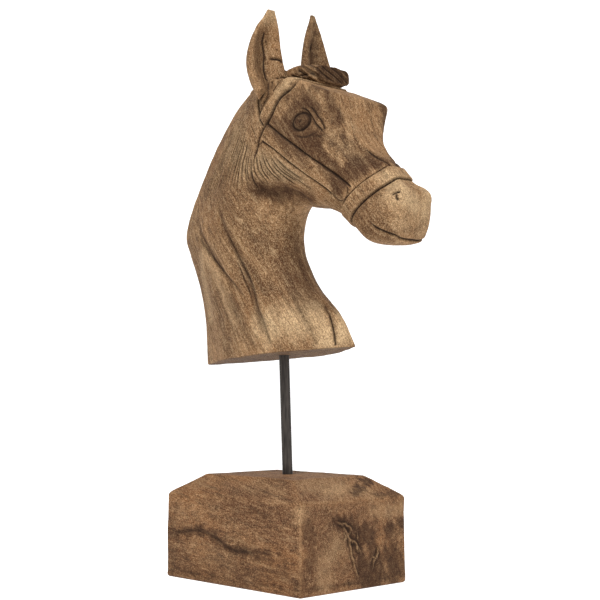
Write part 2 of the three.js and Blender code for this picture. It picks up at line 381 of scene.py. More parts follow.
# ---- relief ----
def nearest(points, line, reach=14.0):
    """Each point's distance to a line, huge where out of reach, and how far along it that meets it."""
    huge = 1e6
    near = np.flatnonzero(((points > line.min(0) - reach) & (points < line.max(0) + reach)).all(1))
    distance = np.full(len(points), huge)
    along = np.zeros(len(points))
    lengths = np.linalg.norm(np.diff(line, axis=0), axis=1)
    starts = np.concatenate([[0], np.cumsum(lengths)])
    local = points[near]
    best = np.full(len(near), huge)
    place = np.zeros(len(near))
    for a, b, start, length in zip(line[:-1], line[1:], starts, lengths):
        step = b - a
        t = np.clip((local - a) @ step / max(length**2, 1e-9), 0, 1)
        gap = np.linalg.norm(local - a - t[:, None] * step, axis=1)
        closer = gap < best
        best[closer] = gap[closer]
        place[closer] = (start + t[closer] * length) / starts[-1]
    distance[near] = best
    along[near] = place
    return distance, along


class Carving:
    """Relief on one surface: how far each point is moved along its normal, how it is stained, and where
    shade and light are painted on it.
    """

    def __init__(self, thing, seed):
        self.mesh = thing.data
        self.edges = edge_pairs(self.mesh)
        self.points = coordinates(self.mesh)
        self.normals = vertex_normals(self.mesh)
        self.lift = np.zeros(len(self.points))
        self.groove = np.zeros(len(self.points))
        self.dark = np.zeros(len(self.points))
        self.pale = np.zeros(len(self.points))
        self.random = np.random.default_rng(seed)
        self.tree = BVHTree.FromObject(thing, bpy.context.evaluated_depsgraph_get())

    def line(self, keys, side=1, fineness=6):
        """A smooth line through rough keys, laid on the surface. side -1 mirrors it to the right."""
        keys = np.array(keys, float) * (1, side, 1)
        path = spline(keys, np.linspace(0, 1, fineness * (len(keys) - 1) + 1))
        return np.array([self.tree.find_nearest(Vector(p))[0] for p in path])

    def cut(self, keys, side=1, width=1.2, depth=1.2, start=0.06, end=0.06, stain_and_painted_light=1.0):
        """A knife groove that dies out at its ends, its floor darkened as painted shade."""
        distance, along = nearest(self.points, self.line(keys, side))
        fade = ramp(along, 0, max(start, 0.001)) * ramp(along, 1, 1 - max(end, 0.001))
        shape = bump(distance, width) * fade
        self.lift -= depth * shape
        # The groove's darkness is painted shade.
        self.groove = np.maximum(self.groove, stain_and_painted_light * bump(distance, width * 1.1) * fade)

    def strap(self, keys, side, half, rise=1.3, taper=0.0, edge_cut=1.1):
        """A raised flat band, with a cut along both its edges unless edge_cut is 0, the cuts darkened as
        painted shade and a painted highlight just inside each edge.
        """
        distance, along = nearest(self.points, self.line(keys, side))
        width = half * (1 - taper * ramp(along, 0.35, 0))
        inside = ramp(distance, width + 0.5, width - 0.6)
        self.lift = self.lift * (1 - 0.8 * inside) + rise * inside
        ends = ramp(along, 0.0, 0.04) * ramp(along, 1, 0.96)
        rim = bump(distance - width - 0.6, 0.7) * ends
        self.lift -= edge_cut * rim
        # Painted shade in the edge cuts, and a painted highlight just inside each edge.
        self.groove = np.maximum(self.groove * (1 - inside), 0.82 * edge_cut * rim)
        self.pale += 0.3 * bump(distance - width + 0.7, 0.8) * ends

    def hollow(self, place, radii, depth, dark=0.0):
        """A soft round hollow, or a swelling where depth is below zero; dark paints shade into it."""
        gap = np.linalg.norm((self.points - place) / radii, axis=1)
        self.lift -= depth * bump(gap, 1.0)
        # The dark share is painted shade in the hollow.
        self.dark += dark * bump(gap, 1.1)

    def stain_and_painted_light(self, keys, side, half, amount, ragged=0.5):
        """A ragged patch along a path: brown where amount is above zero, bleached where below. Besides real
        stains and bleaching, it lays painted shadow and painted light.
        """
        distance = nearest(self.points, self.line(keys, side), 2.5 * half)[0]
        edge = distance / half + ragged * wave_noise(self.points, 2.2 * half, 40, stretch=(1, 1, 1.6))
        edge += 0.5 * ragged * wave_noise(self.points, 0.8 * half, 41)
        strength = abs(amount) * ramp(edge, 1.5, 0.2)
        if amount > 0:
            self.dark = np.maximum(self.dark, 0.6 * self.dark + strength)
        else:
            self.pale += strength

    def furrow(self, keys, side, width, depth, dark=0.0):
        """A broad soft furrow with soft ends; dark paints shade along its floor."""
        distance, along = nearest(self.points, self.line(keys, side), 4 * width)
        fade = ramp(along, 0, 0.2) * ramp(along, 1, 0.8)
        self.lift -= depth * bump(distance, width) * fade
        # The dark share is painted shade along the furrow's floor.
        self.dark += dark * bump(distance, width * 0.7) * fade


def carve_bridle(work, side):
    """Crownpiece behind the ear, browband below it and cheekpiece across the face, each a flat band."""
    work.strap([(-9, 4, 412), (-5, 20, 408), (2, 30, 400), (9, 36, 388), (16, 38, 374), (24, 38, 364)],
               side, half=5.2, taper=0.1)
    work.strap([(62, 4, 403), (58, 20, 402), (49, 28, 399.5), (39, 34, 393), (30, 37, 383), (25, 37, 372),
                (22, 37, 362)], side, half=BROWBAND_HALF, edge_cut=0)
    work.strap([(28, 37, 364.5), (43.5, 38, 352.5), (61, 36, 338), (76, 31, 325.5), (90, 26, 314),
                (100, 23, 304)], side, half=CHEEK_HALF, edge_cut=0)
    # The cheekpiece's two edges, then the browband's, then the wedge at the ear's root.
    work.cut([(30, 37, 372), (47, 38, 358), (68, 36, 342), (85, 31, 328), (100, 25, 315), (110, 24, 306)],
             side, 0.7, 1.4, start=0.01, end=0.02, stain_and_painted_light=0.8)
    work.cut([(25, 37, 357), (40, 37, 347), (54, 34, 334), (68, 31, 323), (80, 27, 313), (89, 23, 304)],
             side, 0.7, 0.8, start=0.05, end=0.02, stain_and_painted_light=0.6)
    work.cut([(69, 12, 399), (65, 26, 398), (56, 33, 395), (47, 33, 392), (41, 34, 387), (36, 36, 378),
              (31, 37, 371), (26, 37, 364), (19, 37, 355), (12, 36, 344)],
             side, 1.3, 2.4, end=0.1)
    work.cut([(60, 4, 411), (50, 18, 410), (41, 26, 409), (33, 30, 404), (26, 35, 396), (22, 37, 388),
              (19, 36, 379)], side, 1.0, 1.6, start=0.02, end=0.2, stain_and_painted_light=0.9)
    work.cut([(17, 37, 392), (18, 37, 384), (22, 37, 376), (29, 37, 368)],
             side, 0.9, 1.5, end=0.1)


def carve_noseband(work):
    """The band circles the nose in one slanting plane, and stops short of the neck."""
    x, _, z = work.points.T
    across = (x - NOSEBAND_X) * math.sin(NOSEBAND_SLOPE) - (z - NOSEBAND_Z) * math.cos(NOSEBAND_SLOPE)
    reach = (x > 78) & (z > 262)
    inside = ramp(np.abs(across), NOSEBAND_HALF + 0.4, NOSEBAND_HALF - 0.6) * reach
    rim = bump(np.abs(across) - NOSEBAND_HALF - 0.6, 0.65) * reach
    work.lift = work.lift * (1 - 0.9 * inside) + 1.5 * inside - 1.1 * rim
    # Painted shade in the rim cuts, and a painted highlight just inside the band's edges.
    work.groove = np.maximum(work.groove * (1 - inside), 0.95 * rim)
    work.pale += 0.3 * bump(np.abs(across) - NOSEBAND_HALF + 0.8, 0.8) * reach


def carve_eye(work, side):
    """A ball in a hollow painted dark as shade, ringed and with a pupil, between lids and lines cut over and
    under it.
    """
    x, y, z = EYE
    dx = work.points[:, 0] - x
    dz = work.points[:, 2] - z
    there = work.points[:, 1] * side > 15
    # The hollow round the eye is painted dark, standing in for the shade round it.
    work.hollow((x + 1, side * y, z + 1), (14, 12, 11), 1.8, dark=1.0)
    from_middle = np.hypot(dx / EYE_STRETCH, dz)
    work.lift += 2 * np.sqrt(np.clip(1 - (from_middle / EYEBALL) ** 2, 0, 1)) * there
    work.dark += 0.5 * ramp(from_middle, 7.5, 5.5) * there
    # The rings and the pupil are darkened in their cuts as painted shade.
    for radius, width, depth, tone in ((6.7, 1.6, 1.3, 0.9), (4.0, 0.9, 0.3, 0.5), (0.0, 1.4, 0.5, 0.9)):
        ring = bump(from_middle - radius, width) * there
        work.lift -= depth * ring
        work.groove = np.maximum(work.groove, tone * ring)
    work.cut([(66, y, 375), (72, y, 374.5), (77, y, 371.5), (81.5, y - 1, 366), (85.5, y - 2, 360),
              (91, y - 3, 351.5)], side, 0.9, 1.2, start=0.3, end=0.1)
    work.cut([(78, y, 376.5), (84, y - 1, 371), (89.5, y - 2, 363), (93, y - 3, 353)],
             side, 0.9, 1.0, start=0.3, stain_and_painted_light=0.8)
    work.cut([(62, y, 357), (69, y, 352), (79, y, 351), (89, y - 2, 354)],
             side, 0.8, 0.6, start=0.3, end=0.3, stain_and_painted_light=0.6)
    work.cut([(76, y, 348.5), (83, y - 1, 350), (89, y - 2, 349), (94, y - 3, 351)],
             side, 0.7, 0.4, start=0.3, end=0.3, stain_and_painted_light=0.5)


def carve_muzzle(work, side):
    """The mouth's line, the nostril, a full lip, and the hollow and cuts along the nose."""
    work.cut([(127, 25, 279), (133, 24, 272), (142, 23, 265.5), (150, 20, 260), (156, 12, 256.5),
              (158, 0, 256)], side, 0.8, 1.7, start=0.3, end=0.01)
    for nostril in (
        [(148, 24, 296), (152, 22, 297.5), (156, 20, 296)],
        [(152.5, 22, 296), (153.5, 23, 292.5), (156, 21, 289)],
    ):
        work.cut(nostril, side, 0.9, 1.5, start=0.2, end=0.2)
    work.hollow((140, side * 26, 280), (10, 6, 12), -1.2)
    # The hollow along the nose is painted dark as shade.
    work.hollow((113, side * 17, 328), (11, 8, 9), 2.2, dark=0.9)
    work.cut([(104, 28, 370), (108, 23, 356), (112, 18, 347), (118, 14, 338)],
             side, 0.8, 0.3, start=0.3, end=0.3, stain_and_painted_light=0.3)
    work.cut([(117, 16, 341), (123, 12, 332), (129, 8, 325), (133, 5, 321), (135, 6, 319)],
             side, 1.0, 1.3, start=0.3, end=0.05)


def carve_hair(work, side):
    """Strands fan out from behind the ear, over the side of the neck and down the cheek."""
    starts = [(-18, 14, 404), (-6, 24, 398), (4, 32, 388), (8, 36, 374), (16, 37, 360), (24, 38, 352),
              (34, 37, 347)]
    middles = [(-48, 18, 366), (-32, 24, 362), (-18, 30, 358), (-6, 34, 348), (8, 36, 338), (30, 36, 331),
               (50, 34, 328)]
    finishes = [(-84, 16, 318), (-62, 24, 318), (-38, 30, 322), (-16, 33, 318), (14, 34, 316), (48, 32, 312),
                (78, 27, 307)]
    for n in range(STRANDS):
        share = (n + work.random.uniform(-0.4, 0.4)) / (STRANDS - 1)
        keys = np.array([spline(row, [share])[0] for row in (starts, middles, finishes)])
        keys[1:] += work.random.normal(scale=1.0, size=(2, 3)) * (1, 0, 1)
        first = work.random.uniform(0, 0.3)
        last = work.random.uniform(0.75, 1.0)
        path = spline(keys, np.linspace(first, last, 5))
        width = work.random.uniform(0.65, 1.0)
        work.cut(path, side, width=width, depth=work.random.uniform(0.3, 0.75),
                 start=0.3, end=0.3, stain_and_painted_light=work.random.uniform(0.2, 0.6))
        distance, along = nearest(work.points, work.line(path, side))
        work.pale += 0.22 * bump(distance - 1.5, 0.8) * ramp(along, 0, 0.3) * ramp(along, 1, 0.5)
    # Two cuts frame the crownpiece, which the strands have run over.
    work.cut([(14, 37, 396), (18, 38, 391), (21, 38, 381), (28, 38, 370)], side, 0.8, 1.2)
    work.cut([(4, 33, 396), (9, 36, 380), (14, 38, 368), (21, 38, 358)], side, 0.8, 1.2)


def carve_neck(work, side):
    """A deep furrow under the jaw, long ones down the neck with cracks in them, and some at the throat, all
    painted dark as shade.
    """
    # Painted shadow under the jaw's overhang, and painted shade along the other furrows.
    work.furrow([(3, 33, 325), (14, 32, 317), (30, 30, 308), (46, 26, 301), (58, 20, 298)],
                side, 7, 4.5, dark=0.75)
    work.furrow([(-96, 10, 312), (-83, 22, 303), (-71, 26, 290), (-55, 28, 275), (-33, 30, 252),
                 (-10, 33, 230)], side, 4.5, 1.4, dark=0.6)
    work.furrow([(-44, 28, 322), (-33, 30, 294), (-22, 32, 278), (-8, 34, 256), (5, 35, 226), (14, 36, 205),
                 (23, 36, 186)], side, 4.0, 1.2, dark=0.7)
    work.cut([(-92, 14, 303), (-68, 23, 283), (-39, 29, 259), (-13, 32, 237), (5, 33, 221)],
             side, 1.2, 0.6, start=0.2, end=0.3, stain_and_painted_light=0.6)
    work.cut([(-36, 31, 300), (-26, 31, 283), (-14, 30, 263), (-2, 30, 245), (7, 32, 224), (15, 33, 210),
              (26, 33, 186)], side, 1.5, 0.7, start=0.2, end=0.1, stain_and_painted_light=0.6)
    work.furrow([(40, 26, 240), (52, 24, 215), (62, 20, 196)], side, 3.0, 0.6, dark=0.3)
    work.furrow([(38, 21, 226), (46, 20, 213), (55, 19, 199), (66, 17, 180)], side, 3.5, 1.3, dark=0.4)
    work.furrow([(58, 4, 228), (64, 6, 214), (70, 8, 202), (76, 10, 178)], side, 2.6, 1.8, dark=0.55)
    work.cut([(63, 5, 216), (70, 8, 202), (74, 10, 187)],
             side, 0.9, 0.8, start=0.3, end=0.0, stain_and_painted_light=0.5)
    work.cut([(-22, 32, 272), (-10, 34, 250), (0, 35, 232), (6, 36, 214)],
             side, 0.7, 0.6, start=0.3, end=0.4, stain_and_painted_light=0.7)
    work.cut([(-80, 22, 300), (-62, 27, 280), (-44, 29, 262)],
             side, 0.7, 0.5, start=0.3, end=0.5, stain_and_painted_light=0.5)


def carve_ears(work):
    """Lines down the hollows, one crack in the right ear, pale tips, and the left ear painted darker as the
    shade on the side turned from the light.
    """
    _, y, z = work.points.T
    for side in (-1, 1):
        work.cut([(19, 28, 460), (21, 28, 446), (22, 27, 434), (20, 27, 422), (24, 26, 410), (29, 27, 402)],
                 side, 1.1, 1.1, start=0.25, end=0.2, stain_and_painted_light=0.55)
        work.cut([(16, 23, 464), (17, 24, 450), (20, 24, 438)],
                 side, 0.9, 0.6, start=0.3, end=0.4, stain_and_painted_light=0.5)
    work.cut([(17, 22, 431), (25, 17, 430), (33, 13, 428)], -1, 1.1, 1.4, start=0.3, end=0.0)
    # The left ear, turned away from the light, is painted darker as shade.
    work.dark += 0.6 * ramp(z, 408, 418) * (y > 8)
    work.pale += 0.6 * ramp(z, 452, 470) * (y < 0) + 0.2 * ramp(z, 462, 474) * (y > 0)
    work.lift += 0.25 * wave_noise(work.points, 9, 5) * ramp(z, 440, 465)


def carve_forelock(work):
    """Locks sweep down and forward across the mass of the forelock, their valleys darkened as painted shade,
    over an undercut painted dark as its shadow.
    """
    x, y, z = work.points.T
    there = ramp(z, 402, 406) * ramp(z, 427, 425) * ramp(x, -12, 0) * ramp(np.abs(y - 1), 19.5, 18)
    there *= x < 78
    # The ears rise through the same space, and are left out.
    there *= 1 - ramp(np.abs(y), 8, 11) * ramp(x, 48, 44) * ramp(z, 414, 416)
    sweep = x * math.sin(LOCK_SLOPE) + z * math.cos(LOCK_SLOPE) + 0.45 * y
    sweep += 0.9 * wave_noise(work.points, 26, 11)
    for period, depth in ((5.2, 0.9), (2.3, 0.4)):
        ridge = np.abs(((sweep / period) % 1) - 0.5) * 2
        valley = bump(1 - ridge, 0.4) * there
        work.lift -= depth * valley
        # The valleys are darkened as painted shade.
        work.groove = np.maximum(work.groove, 0.75 * valley)
    work.dark += 0.35 * there
    # Painted shadow under the forelock's blunt front end.
    work.dark += 0.8 * ramp(x, 66, 69) * ramp(z, 399, 403) * (np.abs(y - 4) < 24)


def paint_stains_and_light_on_head(work, side):
    """Brown and bleached patches, as the timber weathered before and after it was carved, and among them
    painted shadows and painted light.
    """
    for keys, half, amount in (
        ([(66, 36, 340), (90, 32, 334), (104, 28, 322)], 17, 0.22),
        ([(48, 36, 388), (70, 36, 388), (84, 36, 381)], 9, 0.5),
        # Painted shadow above the cheekpiece.
        ([(37, 36, 370), (56, 36, 354), (80, 34, 337), (102, 28, 318)], 8, 1.0),
        ([(84, 33, 392), (92, 33, 384), (98, 31, 372), (103, 27, 361)], 6, 1.0),
        ([(80, 34, 384), (96, 32, 364), (112, 26, 344)], 5, 0.5),
        ([(84, 34, 362), (101, 30, 345), (116, 28, 329), (124, 26, 318)], 8, 0.5),
        # Painted shade behind and under the eye.
        ([(60, 35, 374), (57, 35, 362), (66, 35, 352), (84, 35, 348)], 9, 1.0),
        ([(62, 35, 378), (76, 35, 379), (88, 34, 372)], 6, 0.6),
        ([(131, 8, 327), (121, 14, 325), (111, 19, 319), (101, 23, 309)], 8, 1.1),
        ([(98, 32, 350), (108, 29, 340), (118, 24, 331)], 6, -0.3),
        # Painted shadow under the jaw's overhang.
        ([(12, 34, 319), (32, 28, 311), (56, 24, 303)], 10, 0.85),
        # Painted shadow of the head down the front of the neck.
        ([(34, 28, 300), (48, 24, 278), (54, 20, 252), (48, 20, 236)], 17, 0.4),
        ([(46, 20, 250), (58, 16, 236), (66, 8, 226)], 11, 0.35),
        ([(-30, 14, 372), (-63, 14, 343), (-91, 14, 312)], 7, 0.45),
        ([(-46, 28, 352), (-38, 28, 335), (-33, 28, 312)], 8, 0.5),
        # The lower front of the neck is pale, partly bleaching and partly painted light.
        ([(18, 34, 204), (44, 24, 208), (70, 10, 198)], 17, -0.75),
        ([(-43, 34, 246), (-27, 34, 228), (-9, 34, 201)], 5, 0.5),
        ([(-25, 35, 232), (-11, 35, 214), (8, 35, 191)], 5.5, 0.55),
        ([(-59, 32, 235), (-50, 32, 213), (-38, 32, 191)], 5.5, 0.45),
        ([(-65, 32, 269), (-41, 32, 242), (-20, 33, 215)], 7, -0.35),
        ([(-88, 22, 294), (-62, 26, 279), (-40, 29, 260)], 5, 0.5),
        ([(-75, 28, 280), (-86, 24, 256), (-82, 26, 226)], 8, -0.45),
        ([(121, 24, 284), (126, 24, 268), (140, 18, 261)], 9, 0.45),
        ([(112, 22, 282), (124, 22, 292), (136, 16, 301)], 5, 0.45),
        # The top of the muzzle is pale, partly bleaching and partly painted light falling from above.
        ([(140, 14, 310), (151, 14, 300), (156, 8, 288)], 9, -0.6),
        ([(146, 18, 298), (153, 14, 286), (150, 14, 272)], 12, -0.25),
        ([(18, 30, 452), (22, 30, 430), (27, 30, 408)], 6, 0.35),
        ([(22, 34, 462), (12, 36, 430), (16, 38, 404)], 5, -0.3),
        ([(60, 24, 404), (50, 30, 401), (42, 34, 396)], 7, -0.6),
        ([(6, 34, 388), (0, 32, 396), (-8, 24, 402)], 8, 0.45),
        ([(0, 33, 380), (-16, 30, 360), (-30, 28, 335)], 10, 0.25),
        ([(20, 34, 345), (45, 34, 332), (70, 30, 312)], 8, -0.25),
    ):
        work.stain_and_painted_light(keys, side, half, amount)


def undulate(work):
    """Old timber is never quite flat."""
    work.lift += 0.45 * wave_noise(work.points, 46, 21, stretch=(1, 1, 2))
    work.lift += 0.12 * wave_noise(work.points, 11, 22)


def spare_thin_places(work):
    """Keeps every cut shallower than a share of the wood behind it."""
    for i in np.flatnonzero(work.lift < -0.3):
        normal = Vector(work.normals[i])
        start = Vector(work.points[i]) - 0.05 * normal
        depth = work.tree.ray_cast(start, -normal, 9.0)[3]
        if depth is not None:
            work.lift[i] = max(work.lift[i], -THIN_SHARE * depth)


def finish_carving(work, keep_flat):
    """Moves the points, then marks worn high edges, and low places and cuts to be darkened as painted shade,
    from the finished shape.
    """
    work.lift = np.where(keep_flat, 0, work.lift)
    spare_thin_places(work)
    moved = work.points + work.normals * work.lift[:, None]
    moved = relax(moved, work.edges, 1, 0.25)
    # Points that stand off their neighbours or have turned over are drawn back, with those around them.
    for _ in range(REPAIR_ROUNDS):
        set_coordinates(work.mesh, moved)
        turned = (vertex_normals(work.mesh) * work.normals).sum(1) < TURN_LIMIT
        middle = neighbour_mean(moved, work.edges)
        spiked = np.linalg.norm(middle - moved, axis=1) > SPIKE_LIMIT
        faulty = (turned | spiked).astype(float)[:, None]
        near_fault = (neighbour_mean(faulty, work.edges)[:, 0] > 0) | (faulty[:, 0] > 0)
        moved[near_fault] += DRAW_BACK * (middle[near_fault] - moved[near_fault])
    moved[keep_flat, 2] = work.points[keep_flat, 2]
    set_coordinates(work.mesh, moved)
    normals = vertex_normals(work.mesh)
    hollow = moved
    for _ in range(4):
        hollow = neighbour_mean(hollow, work.edges)
    curve = ((hollow - moved) * normals).sum(1)
    high, low = (relax(np.clip(c, 0, 1.25 * FULL_CURVE)[:, None], work.edges, 1)[:, 0] / FULL_CURVE
                 for c in (-curve, curve))
    set_attribute(work.mesh, "worn", high)
    # Low places and the darkened cuts are painted shade.
    set_attribute(work.mesh, "cut_and_hollow_shade", np.maximum(low, work.groove))
    set_attribute(work.mesh, "dark", work.dark)
    set_attribute(work.mesh, "pale", work.pale)


def unfold(mesh):
    """Draws back the points of triangles that fold onto their neighbours in a closed mesh."""
    triangles = read(mesh.polygons, "vertices", 3, np.int32)
    # In a closed mesh every side belongs to two triangles, so sorting the sides pairs their owners.
    sides = np.sort(np.vstack([triangles[:, [0, 1]], triangles[:, [1, 2]], triangles[:, [2, 0]]]), 1)
    owners = np.tile(np.arange(len(triangles)), 3)[np.lexsort((sides[:, 1], sides[:, 0]))]
    first, second = owners[::2], owners[1::2]
    edges = edge_pairs(mesh)
    places = coordinates(mesh)
    for _ in range(UNFOLD_ROUNDS):
        corners = places[triangles]
        facing = np.cross(corners[:, 1] - corners[:, 0], corners[:, 2] - corners[:, 0])
        facing /= np.maximum(np.linalg.norm(facing, axis=1), 1e-12)[:, None]
        folded = (facing[first] * facing[second]).sum(1) < FOLD_LIMIT
        faulty = np.unique(triangles[np.concatenate([first[folded], second[folded]])])
        middle = neighbour_mean(places, edges)
        places[faulty] += DRAW_BACK * (middle[faulty] - places[faulty])
    set_coordinates(mesh, places)


def make_head():
    head = smooth_head()
    mesh = head.data
    set_coordinates(mesh, relax(coordinates(mesh), edge_pairs(mesh), 8))
    work = Carving(head, seed=7)
    undulate(work)
    for side in (-1, 1):
        carve_neck(work, side)
        carve_hair(work, side)
        carve_eye(work, side)
        carve_muzzle(work, side)
        carve_bridle(work, side)
        paint_stains_and_light_on_head(work, side)
    carve_noseband(work)
    carve_ears(work)
    carve_forelock(work)
    # Faces of the neck's sawn underside that look down are darkened.
    work.dark += 0.8 * ramp(work.normals[:, 2], -0.6, -0.9) * (work.points[:, 2] < 196)
    finish_carving(work, np.zeros(len(work.points), bool))
    ratio = HEAD_TRIANGLES / (2 * len(mesh.polygons))
    apply_modifier(head, "DECIMATE", ratio=min(1, ratio), use_collapse_triangulate=True)
    unfold(head.data)
    set_coordinates(head.data, to_row(coordinates(head.data)))
    head.data.shade_smooth()
    return head


head = make_head()
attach(head, "root")
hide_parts("horse_head")


# ---- the base and the rod ----
def block():
    """The bevelled block, a little smaller than its CAD solid so that its relief stays inside."""
    x, y = BASE_HIGH.x / MM - BASE_INSET, BASE_HIGH.y / MM - BASE_INSET
    levels = [
        (x - 1, y - 1, 0),
        (x, y, 1.2),
        (x, y, WALL_TOP - 2.5),
        (x - 0.5, y - 0.4, WALL_TOP - 0.5),
        (x - 2.4, y - 1.7, WALL_TOP + 1.2),
        (x - END_BEVEL, y - SIDE_BEVEL, BASE_TOP),
    ]
    rings = []
    for half_x, half_y, z in levels:
        corners = [(half_x, -half_y), (half_x, half_y), (-half_x, half_y), (-half_x, -half_y)]
        rings.append([(*corner, z) for corner in corners])
    return loft(rings)


def grow_root(work, keys, twigs):
    """A pale raised vein that wanders down the front wall and puts out short ragged twigs."""
    knots = 14
    main = spline(keys, np.linspace(0, 1, knots))
    main += work.random.normal(scale=0.8, size=(knots, 3)) * (0, 1, 1)
    paths = [(main, 0.6, 0.9)]
    for _ in range(twigs):
        start = main[work.random.integers(1, knots - 2)]
        heading = work.random.uniform(-2.6, -0.5)
        reach = work.random.uniform(4, 11)
        steps = np.linspace(0, 1, 5)[:, None]
        twig = start + steps * reach * np.array([0, math.cos(heading), math.sin(heading)])
        paths.append((twig + work.random.normal(scale=0.7, size=(5, 3)) * (0, 1, 1), 0.45, 0.5))
    for path, width, height in paths:
        distance, along = nearest(work.points, work.line(path, fineness=3))
        fade = ramp(along, 0, 0.1) * ramp(along, 1, 0.5)
        vein = bump(distance, width) * fade
        work.lift += height * vein - 0.5 * height * bump(distance - 2.5 * width, width) * fade
        work.pale += 0.9 * vein
        work.dark *= 1 - 0.8 * vein


def weather_right_wall(work, right):
    """A wavy brown shake across the wall, with brown and pale patches round it."""
    shake = [(-79, right, 34), (-56, right, 39), (-37, right, 41), (-19, right, 37), (-1, right, 30),
             (19, right, 29), (42, right, 30)]
    work.stain_and_painted_light(shake, 1, 5, 0.9, ragged=0.6)
    work.furrow(shake, 1, 2.4, 0.5)
    for keys, half, amount in (
        ([(-79, right, 12), (-30, right, 8), (30, right, 10), (75, right, 12)], 18, 0.5),
        ([(-30, right, 62), (10, right, 66), (50, right, 60)], 9, 0.35),
        ([(-30, right + 12, 79), (0, right + 10, 77), (35, right + 9, 75)], 7, 0.3),
        ([(-60, right, 56), (-20, right, 60)], 8, -0.2),
        ([(-50, right, 26), (0, right, 20)], 8, -0.2),
        ([(-60, right + 10, 78), (0, right + 12, 79), (50, right + 8, 76)], 8, -0.2),
    ):
        work.stain_and_painted_light(keys, 1, half, amount)


def weather_front_wall(work, front):
    """Pale roots over dark rotten patches, with bleached wood beside them, and pale on the bevel that is
    partly bleaching and partly painted light.
    """
    def on_front(keys):
        return [(front - depth, y, z) for depth, y, z in keys]

    for keys, half, dark in (
        ([(0, -22, 54), (0, -8, 51), (0, 6, 44), (0, 18, 40)], 5, 1.0),
        ([(0, 2, 44), (0, 4, 28), (0, 8, 8)], 7, 0.9),
        ([(0, 18, 38), (0, 26, 24), (0, 24, 8)], 10, 1.0),
        ([(0, 34, 44), (0, 46, 47), (0, 58, 48)], 4, 0.8),
        ([(0, 40, 24), (0, 50, 10), (0, 58, 6)], 9, 0.8),
        ([(0, -54, 50), (0, -48, 40), (0, -50, 26)], 6, 0.5),
        ([(6, 6, 76), (14, 24, 79), (22, 36, 82)], 4, 0.9),
        ([(3, 30, 72), (4, 50, 71)], 4, 0.7),
    ):
        work.stain_and_painted_light(on_front(keys), 1, 1.2 * half, 1.15 * dark, ragged=0.9)
    for keys, twigs in (
        ([(0, -12, 50), (0, -6, 39), (0, -4, 27), (0, 0, 16), (0, 6, 3)], 7),
        ([(0, -6, 39), (0, 2, 34), (0, 7, 25)], 2),
        ([(0, 27, 29), (0, 22, 21), (0, 18, 12)], 3),
        ([(0, -18, 53), (0, -8, 50), (0, 4, 43)], 3),
    ):
        grow_root(work, on_front(keys), twigs)
    for keys, half in (
        ([(0, -20, 34), (0, -30, 24), (0, -34, 10)], 10),
        ([(0, 20, 60), (0, 44, 58), (0, 56, 60)], 6),
        # On the bevel the pale is partly painted light falling on the top.
        ([(8, -24, 75), (12, 0, 77), (8, 22, 75)], 9),
        ([(20, -34, 82), (20, 0, 82)], 11),
    ):
        work.stain_and_painted_light(on_front(keys), 1, half, -0.4)


def scuff_corner(work, front, right):
    """The corner between the front and right walls is scuffed pale, with chips out of its arris."""
    x, y, z = work.points.T
    corner = np.hypot(x - front, y - right)
    work.pale += 0.6 * ramp(corner, 3, 0) * ramp(z, 86, 60) + 0.9 * bump(np.hypot(corner, z - 62), 7)
    for height, size in ((66, 4.5), (58, 3.2), (51, 2.0), (33, 1.4), (20, 1.2)):
        work.hollow((front, right, height), (size, size, size * 1.1), 0.35 * size)


def make_base():
    base = new_object("wooden_base", *block())
    apply_modifier(base, "REMESH", mode="VOXEL", voxel_size=BASE_VOXEL)
    mesh = base.data
    set_coordinates(mesh, relax(coordinates(mesh), edge_pairs(mesh), 2))
    work = Carving(base, seed=3)
    z = work.points[:, 2]
    unevenness = 0.45 * wave_noise(work.points, 60, 31) + 0.15 * wave_noise(work.points, 14, 32) - 0.35
    work.lift += ramp(z, 2, 6) * unevenness
    front, right = BASE_HIGH.x / MM, -BASE_HIGH.y / MM
    weather_right_wall(work, right)
    weather_front_wall(work, front)
    scuff_corner(work, front, right)
    # The line between walls and bevels is worn pale in places.
    work.pale += 0.35 * bump(z - WALL_TOP, 1.2) * ramp(wave_noise(work.points, 22, 35), -0.3, 0.5)
    finish_carving(work, keep_flat=z < 0.4)
    base.data.shade_smooth()
    set_coordinates(base.data, coordinates(base.data) * MM)
    return base


def make_rod():
    """A round bar with eased ends, on the same leaning axis as its CAD solid."""
    steps, around = 90, 40
    low = ROD_LOW.z / MM + 0.2
    high = BASE_TOP + (ROD_HIGH.z / MM - BASE_TOP) / math.cos(LEAN) - 0.4
    heights = [low, low, low + 0.6, *np.linspace(low + 2, high - 2, steps), high - 0.6, high, high]
    eased = [ROD_RADIUS - 1.5, ROD_RADIUS - 0.6, ROD_RADIUS]
    radii = [*eased, *[ROD_RADIUS] * steps, *eased[::-1]]
    angle = np.arange(around) * 2 * math.pi / around
    rings = []
    for z, radius in zip(heights, radii):
        # A drawn bar is never quite straight.
        x = ROD_FOOT + radius * np.cos(angle) + 0.06 * math.sin(z / 23)
        rings.append(np.stack([x, radius * np.sin(angle), np.full(around, z)], 1))
    vertices, faces = loft(rings)
    rod = new_object("steel_rod", to_row(vertices), faces)
    rod.data.shade_smooth()
    return rod


base = make_base()
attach(base, "root")
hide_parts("base")
rod = make_rod()
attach(rod, "root")
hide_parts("rod")


